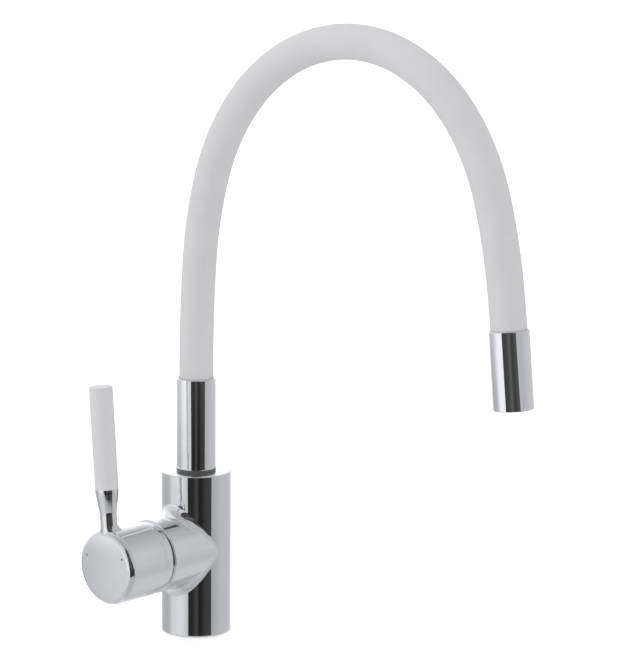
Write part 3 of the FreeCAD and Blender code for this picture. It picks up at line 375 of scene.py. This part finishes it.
def junction_skin():
    """The hollow rounding between the column and the arm, as a ball rolls along both."""
    turn = np.linspace(0.0, 2.0 * math.pi, JUNCTION_STEPS)
    reach = np.full_like(turn, JUNCTION_GUESS)
    for _ in range(JUNCTION_ROUNDS):
        rho = ARM_ROOT + ARM_GROWTH * reach + JUNCTION_ROUND * math.sqrt(1.0 + ARM_GROWTH * ARM_GROWTH)
        reach = np.sqrt(np.maximum((BODY_RADIUS + JUNCTION_ROUND) ** 2 - (rho * np.cos(turn)) ** 2, 0.0))
    centres = np.stack((rho * np.cos(turn), -reach, ARM_HEIGHT + rho * np.sin(turn)), 1)

    def skin(points):
        gaps = np.empty(len(points))
        normals = np.empty_like(points)
        for start in range(0, len(points), BATCH):
            part = points[start:start + BATCH]
            away = centres[None, :, :] - part[:, None, :]
            nearest = np.argmin((away ** 2).sum(2), 1)
            to_centre = away[np.arange(len(part)), nearest]
            gaps[start:start + BATCH] = np.linalg.norm(to_centre, axis=1) - JUNCTION_ROUND
            normals[start:start + BATCH] = unit(to_centre)
        return gaps, normals
    return skin


def flare_skin(place):
    """The lever's root, which widens backwards and is flush with the lever's front."""
    def skin(points):
        local = to_local(place, points)
        rise = (local[:, 2] - FLARE_FOOT) / FLARE_RISE
        wider = FLARE_SPREAD * between(rise, FLARE_SHAPE)
        left = 1.0 - np.clip(rise, 0.0, 1.0)
        slope = np.where(rise > 0.0, -FLARE_POWER * left ** (FLARE_POWER - 1.0), 0.0) * FLARE_SPREAD / FLARE_RISE
        back = local[:, 1] - wider
        reach = np.maximum(np.hypot(local[:, 0], back), TINY)
        gap = reach - LEVER_RADIUS - wider
        normal = np.stack((local[:, 0] / reach, back / reach, -slope * (back / reach + 1.0)), 1)
        inside = (rise > FLARE_LIMITS[0]) & (rise < FLARE_LIMITS[1])
        return np.where(inside, gap, FAR_OFF), to_world(place, unit(normal))
    return skin


def corner_normals(mesh, skins):
    """A direction for each face corner: the nearest skin's where a face lies on one, or else the face's own."""
    points = np.empty(len(mesh.vertices) * 3)
    mesh.vertices.foreach_get("co", points)
    points = points.reshape(-1, 3) / MM
    corners = np.empty(len(mesh.loops), int)
    mesh.loops.foreach_get("vertex_index", corners)
    starts = np.empty(len(mesh.polygons), int)
    mesh.polygons.foreach_get("loop_start", starts)
    flat = np.empty(len(mesh.polygons) * 3)
    mesh.polygons.foreach_get("normal", flat)
    flat = flat.reshape(-1, 3)
    owner = np.zeros(len(corners), int)
    owner[starts[1:]] = 1
    owner = np.cumsum(owner)
    normals = flat[owner].copy()
    best = np.full(len(flat), SKIN_TOLERANCE)
    for skin in skins:
        gap, lean = skin(points)
        worst = np.maximum.reduceat(np.abs(gap)[corners], starts)
        total = unit(np.add.reduceat(lean[corners], starts))
        taken = (worst < best) & ((total * flat).sum(1) > SKIN_AGREEMENT)
        best[taken] = worst[taken]
        chosen = taken[owner]
        normals[chosen] = lean[corners[chosen]]
    return normals


def polished(node, body, skins, material):
    """A chromed or moulded piece in a node's place, shaded as its exact curved surfaces are."""
    mesh = frame["nodes"][node].data.copy()
    piece = add_object(node + "_skin", mesh)
    normals = corner_normals(mesh, skins)
    mesh.shade_smooth()
    mesh.normals_split_custom_set([tuple(n) for n in normals])
    dress(piece, material)
    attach(piece, body)
    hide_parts(node)


UPRIGHT = Matrix.Identity(4)
ARM = Matrix.Translation((0.0, 0.0, ARM_HEIGHT)) @ Matrix.Rotation(math.radians(90.0), 4, "X")
HANDLE = ARM @ Matrix.Rotation(math.radians(HANDLE_TURN), 4, "Z")
LEVER = HANDLE @ Matrix.Translation((0.0, 0.0, LEVER_LINE)) @ Matrix.Rotation(math.radians(-90.0), 4, "X")


def rounded_ends(place, radius, low, high, minor):
    """Skins of a tube's outside with a small rounding at both ends."""
    return [
        tube_skin(place, radius),
        ring_skin(place, radius - minor, low + minor, minor),
        ring_skin(place, radius - minor, high - minor, minor),
    ]


def make_body():
    """Column, arm and the hollow rounding between them."""
    skins = [
        tube_skin(UPRIGHT, BODY_RADIUS),
        ring_skin(UPRIGHT, BODY_RADIUS - BASE_ROUND, BASE_ROUND, BASE_ROUND),
        ring_skin(UPRIGHT, BODY_RADIUS - TOP_ROUND, BODY_HEIGHT - TOP_ROUND, TOP_ROUND),
        tube_skin(ARM, ARM_ROOT, growth=ARM_GROWTH),
        ring_skin(ARM, ARM_RIM - RIM_ROUND, ARM_REACH - RIM_ROUND, RIM_ROUND),
        junction_skin(),
        tube_skin(ARM, RIM_BORE, side=-1.0),
        tube_skin(ARM, CARTRIDGE_BORE, side=-1.0),
        tube_skin(ARM, NUT_BORE, side=-1.0),
        tube_skin(UPRIGHT, BASE_RECESS, side=-1.0),
        tube_skin(UPRIGHT, SPIGOT_SOCKET, side=-1.0),
    ]
    polished("body_casting", "base", skins, CHROME)


def make_dome():
    """Ball-shaped ring that the cap swings over."""
    centre = ARM @ Matrix.Translation((0.0, 0.0, PIVOT_REACH))
    height = DOME_FOOT + DOME_ROUND
    major = math.sqrt((DOME_RADIUS - DOME_ROUND) ** 2 - (PIVOT_REACH - height) ** 2)
    skins = [
        ball_skin(centre, DOME_RADIUS),
        ring_skin(ARM, major, height, DOME_ROUND),
        tube_skin(ARM, DOME_BORE, side=-1.0),
        tube_skin(ARM, NUT_BORE, side=-1.0),
    ]
    polished("dome_ring", "base", skins, CHROME)


def make_cap():
    """Cap with its rounded front edge, and the lever's neck."""
    slope = math.atan2(GRIP_RADIUS - LEVER_RADIUS, LEVER_HEAD - LEVER_WAIST)
    tangent = LEVER_ROUND * math.tan(slope / 2.0)
    growth = math.tan(slope)
    skins = [
        tube_skin(ARM, CAP_RADIUS),
        ring_skin(ARM, CAP_RADIUS - CAP_ROUND, CAP_FRONT - CAP_ROUND, CAP_ROUND),
        crown_skin(ARM, CAP_FRONT, CROWN_REACH),
        tube_skin(ARM, CAP_LIP_BORE, side=-1.0),
        tube_skin(ARM, CAP_BORE, side=-1.0),
        tube_skin(ARM, CAP_BOSS),
        tube_skin(LEVER, LEVER_RADIUS),
        ring_skin(LEVER, LEVER_RADIUS + LEVER_ROUND, LEVER_WAIST - tangent, LEVER_ROUND, side=-1.0),
        tube_skin(LEVER, LEVER_RADIUS - growth * LEVER_WAIST, growth=growth),
        ring_skin(LEVER, GRIP_RADIUS - LEVER_ROUND, LEVER_HEAD + tangent, LEVER_ROUND),
        tube_skin(LEVER, GRIP_RADIUS),
        flare_skin(LEVER),
    ]
    polished("handle_cap", "handle", skins, CHROME)


def make_grip():
    """White grip of the lever."""
    skins = [
        tube_skin(LEVER, GRIP_RADIUS),
        ring_skin(LEVER, GRIP_RADIUS - GRIP_ROUND, GRIP_TOP - GRIP_ROUND, GRIP_ROUND),
    ]
    polished("lever_grip", "handle", skins, GRIP)


def make_collar():
    """Chromed tube at the neck's foot and the ring that it turns on."""
    skins = rounded_ends(UPRIGHT, COLLAR_RADIUS, COLLAR_FOOT, COLLAR_TOP, COLLAR_ROUND)
    skins.append(tube_skin(UPRIGHT, COLLAR_BORE, side=-1.0))
    polished("collar", "spout_base", skins, CHROME)
    polished("swivel_ring", "base", [tube_skin(UPRIGHT, RING_RADIUS)], RING_PLASTIC)


# Flexible neck

def link_lengths():
    """Length of each link along the neck."""
    lengths = [LINK] * len(TURNS)
    lengths[0] = LINK / 2.0 + SLEEVE_TUCK
    lengths[-1] = LINK / 2.0 + NOZZLE_TUCK
    return lengths


def neck_place(distance):
    """Frame at a distance along the neck's line, from the sleeve's foot."""
    place = Matrix.Translation((0.0, 0.0, SLEEVE_FOOT))
    for length, turn in zip(link_lengths(), TURNS):
        part = min(distance, length)
        radius = length / math.radians(turn)
        bend = math.radians(turn) * part / length
        step = Matrix.Translation((radius * (1.0 - math.cos(bend)), 0.0, radius * math.sin(bend)))
        place = place @ step @ Matrix.Rotation(bend, 4, "Y")
        distance -= part
        if distance <= 0.0:
            break
    return place


def sleeve_mesh(name, start, stop):
    """Tube wall along the neck's line, from one distance to another, closed at both ends."""
    steps = round((stop - start) / SLEEVE_SPACING)
    sides = SLEEVE_SIDES
    vertices = []
    for i in range(steps + 1):
        place = neck_place(start + (stop - start) * i / steps)
        for radius in (SLEEVE_RADIUS, SLEEVE_BORE):
            for angle in np.linspace(0.0, 2.0 * math.pi, sides, endpoint=False):
                point = place @ Vector((radius * math.cos(angle), radius * math.sin(angle), 0.0))
                vertices.append(point * MM)
    faces = []
    for i in range(steps):
        low = 2 * sides * i
        high = low + 2 * sides
        for j in range(sides):
            k = (j + 1) % sides
            faces.append((low + j, low + k, high + k, high + j))
            faces.append((low + sides + k, low + sides + j, high + sides + j, high + sides + k))
    last = 2 * sides * steps
    for j in range(sides):
        k = (j + 1) % sides
        faces.append((k, j, sides + j, sides + k))
        faces.append((last + j, last + k, last + sides + k, last + sides + j))
    mesh = bpy.data.meshes.new(name)
    mesh.from_pydata(vertices, [], faces)
    mesh.update()
    mesh.shade_smooth()
    mesh.set_sharp_from_angle(angle=math.radians(SLEEVE_EDGE))
    return mesh


def make_sleeve_piece(number, start, stop, joint, body_a, body_b, nodes):
    """One stretch of the silicone sleeve, with a joint at its middle."""
    piece = add_object(f"sleeve_{number}", sleeve_mesh(f"sleeve_{number}", start, stop))
    dress(piece, SILICONE)
    middle = neck_place(joint)
    along = (middle.to_3x3() @ Vector((0.0, 0.0, 1.0))).normalized()
    centre = middle.translation
    near = (body_a, (centre - along * BEND_HALF) * MM)
    far = (body_b, (centre + along * BEND_HALF) * MM)
    if number in BACKWARD_JOINTS:
        near, far = far, near
    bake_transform(piece)
    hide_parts(*nodes)


def make_sleeve():
    """White silicone sleeve from inside the collar to inside the nozzle."""
    lengths = link_lengths()
    chain = ["spout_base"] + [f"neck_link_{i}" for i in range(1, 10)] + ["nozzle"]
    joints = np.cumsum(lengths)[:-1]
    total = sum(lengths)
    for k in range(1, len(chain)):
        joint = float(joints[k - 1])
        start = 0.0 if k == 1 else joint - LINK / 2.0
        stop = total if k == len(chain) - 1 else joint + LINK / 2.0
        nodes = [f"neck_sleeve_{k}"] + (["neck_sleeve_0"] if k == 1 else [])
        make_sleeve_piece(k, start, stop, joint, chain[k - 1], chain[k], nodes)


def make_nozzle():
    """Chromed shell of the nozzle."""
    place = neck_place(sum(link_lengths()))
    skins = rounded_ends(place, NOZZLE_RADIUS, -NOZZLE_TUCK, NOZZLE_LENGTH - NOZZLE_TUCK, NOZZLE_ROUND)
    skins.append(tube_skin(place, NOZZLE_BORE, side=-1.0))
    polished("nozzle_shell", "nozzle", skins, CHROME)


# Stage and light

def linear(value):
    """Linear light of a display value from 0 to 255."""
    share = value / 255.0
    return share / 12.92 if share <= 0.04045 else ((share + 0.055) / 1.055) ** 2.4


def make_floor():
    """Plain pale floor, which the chrome doesn't mirror."""
    mesh = bpy.data.meshes.new("floor")
    reach = 6.0
    corners = [(-reach, -reach, 0), (reach, -reach, 0), (reach, reach, 0), (-reach, reach, 0)]
    mesh.from_pydata(corners, [], [(0, 1, 2, 3)])
    floor = add_object("floor", mesh)
    material, tree = new_material("floor_pale")
    shader = tree.nodes.new("ShaderNodeBsdfPrincipled")
    output = tree.nodes.new("ShaderNodeOutputMaterial")
    shader.inputs["Base Color"].default_value = (0.93, 0.93, 0.93, 1.0)
    shader.inputs["Emission Color"].default_value = WHITE
    shader.inputs["Emission Strength"].default_value = 0.42
    tree.links.new(spread(tree, noise(tree, 2.0), 0.85, 0.95), shader.inputs["Roughness"])
    tree.links.new(shader.outputs["BSDF"], output.inputs["Surface"])
    mesh.materials.append(material)
    floor.visible_glossy = False
    floor.visible_diffuse = False


def dark_card_mesh():
    """Curved card with its brightness at each point."""
    near, far = CARD_DISTANCES
    vertices = []
    glows = []
    for rise, left, right, lift in CARD_ROWS:
        for i in range(CARD_COLUMNS + 1):
            share = i / CARD_COLUMNS
            angle = left + (right - left) * share
            distance = near + (far - near) * share
            elevation = between(angle, CARD_FOOT) if rise is None else rise
            height = ARM_HEIGHT * MM + distance * math.tan(math.radians(elevation))
            way = math.radians(angle)
            vertices.append((distance * math.sin(way), -distance * math.cos(way), height))
            shade = between(angle - CAMERA_SIDE, CARD_SHADES)
            glows.append(linear(float(shade) + lift) / CHROME_SHARE)
    faces = []
    for j in range(len(CARD_ROWS) - 1):
        for i in range(CARD_COLUMNS):
            a = j * (CARD_COLUMNS + 1) + i
            faces.append((a, a + 1, a + CARD_COLUMNS + 2, a + CARD_COLUMNS + 1))
    mesh = bpy.data.meshes.new("dark_card")
    mesh.from_pydata(vertices, [], faces)
    glow = mesh.attributes.new("glow", "FLOAT", "POINT")
    glow.data.foreach_set("value", np.array(glows, np.float32))
    return mesh


def make_dark_card():
    """Dark card round the camera that the chrome mirrors as its dark stripe."""
    mesh = dark_card_mesh()
    card = add_object("dark_card", mesh)
    material, tree = new_material("card_dark")
    emission = tree.nodes.new("ShaderNodeEmission")
    output = tree.nodes.new("ShaderNodeOutputMaterial")
    value = tree.nodes.new("ShaderNodeAttribute")
    value.attribute_name = "glow"
    tree.links.new(value.outputs["Fac"], emission.inputs["Strength"])
    tree.links.new(emission.outputs["Emission"], output.inputs["Surface"])
    mesh.materials.append(material)
    card.visible_camera = False
    card.visible_diffuse = False
    card.visible_shadow = False
    card.visible_transmission = False


def make_world():
    """Soft studio: white to the camera, plain soft light for what is matt, and a grey room for the chrome."""
    world = bpy.data.worlds.new("studio")
    bpy.context.scene.world = world
    world.use_nodes = True
    tree = world.node_tree
    tree.nodes.clear()

    def maths(kind, a, b):
        """A calculation with two values, each a number or a node's output."""
        node = tree.nodes.new("ShaderNodeMath")
        node.operation = kind
        for socket, value in zip(node.inputs, (a, b)):
            if isinstance(value, (int, float)):
                socket.default_value = value
            else:
                tree.links.new(value, socket)
        return node.outputs["Value"]

    def background():
        """A plain background light."""
        node = tree.nodes.new("ShaderNodeBackground")
        node.inputs["Color"].default_value = WHITE
        return node

    def choose(switch, plain, special):
        """The special light for one kind of ray, and the plain one for all others."""
        node = tree.nodes.new("ShaderNodeMixShader")
        tree.links.new(switch, node.inputs[0])
        tree.links.new(plain, node.inputs[1])
        tree.links.new(special, node.inputs[2])
        return node.outputs[0]

    direction = tree.nodes.new("ShaderNodeTexCoord").outputs["Generated"]
    parts = tree.nodes.new("ShaderNodeSeparateXYZ")
    tree.links.new(direction, parts.inputs["Vector"])
    x, y, z = parts.outputs["X"], parts.outputs["Y"], parts.outputs["Z"]
    side = math.radians(CAMERA_SIDE)
    toward = maths("SUBTRACT", maths("MULTIPLY", x, math.sin(side)), maths("MULTIPLY", y, math.cos(side)))
    across = maths("ADD", maths("MULTIPLY", x, math.cos(side)), maths("MULTIPLY", y, math.sin(side)))
    turn = maths("ARCTAN2", across, toward)
    share = maths("ADD", maths("DIVIDE", turn, 2.0 * math.pi), 0.5)

    def band(stops):
        """Brightness all round the horizon."""
        ramp = tree.nodes.new("ShaderNodeValToRGB")
        tree.links.new(share, ramp.inputs["Fac"])
        elements = ramp.color_ramp.elements
        while len(elements) < len(stops):
            elements.new(0.5)
        for element, (angle, value) in zip(elements, stops):
            element.position = (angle + 180.0) / 360.0
            level = linear(value) / CHROME_SHARE
            element.color = (level, level, level, 1.0)
        grey = tree.nodes.new("ShaderNodeRGBToBW")
        tree.links.new(ramp.outputs["Color"], grey.inputs["Color"])
        return grey.outputs["Val"]

    def above(low, high, under, over):
        """Blend from one band to the next between two heights of the direction."""
        step = tree.nodes.new("ShaderNodeMapRange")
        step.interpolation_type = "SMOOTHSTEP"
        step.inputs["From Min"].default_value = low
        step.inputs["From Max"].default_value = high
        tree.links.new(z, step.inputs["Value"])
        share_over = step.outputs["Result"]
        return maths("ADD", maths("MULTIPLY", under, maths("SUBTRACT", 1.0, share_over)),
                     maths("MULTIPLY", over, share_over))

    room_light = band(GROUND)
    for low, high, stops in HIGHER_BANDS:
        room_light = above(low, high, room_light, band(stops))

    room = background()
    room.inputs["Color"].default_value = ROOM_TINT
    tree.links.new(room_light, room.inputs["Strength"])
    soft = background()
    soft.inputs["Strength"].default_value = SOFT_LIGHT
    white = background()
    white.inputs["Strength"].default_value = 1.0
    paths = tree.nodes.new("ShaderNodeLightPath")
    mirrored = choose(paths.outputs["Is Glossy Ray"], soft.outputs[0], room.outputs[0])
    seen = choose(paths.outputs["Is Camera Ray"], mirrored, white.outputs[0])
    output = tree.nodes.new("ShaderNodeOutputWorld")
    tree.links.new(seen, output.inputs["Surface"])


def make_light(name, place, target, size, power):
    """A large soft light that the chrome doesn't mirror."""
    data = bpy.data.lights.new(name, "AREA")
    data.shape = "SQUARE"
    data.size = size
    data.energy = power
    light = add_object(name, data)
    aim = (Vector(target) - Vector(place)).to_track_quat("-Z", "Y")
    light.matrix_world = Matrix.Translation(place) @ aim.to_matrix().to_4x4()
    light.visible_glossy = False
    light.visible_camera = False


make_camera()
dress_frame()
make_body()
make_dome()
make_cap()
make_grip()
make_collar()
make_sleeve()
make_nozzle()
make_floor()
make_dark_card()
make_world()
make_light("left_softbox", place=(-1.2, -1.6, 1.4), target=(0.1, 0.0, 0.2), size=1.2, power=7.5)
make_light("top_softbox", place=(0.1, 0.3, 2.2), target=(0.1, 0.0, 0.0), size=1.6, power=0.5)
bpy.context.scene.view_settings.view_transform = "Standard"
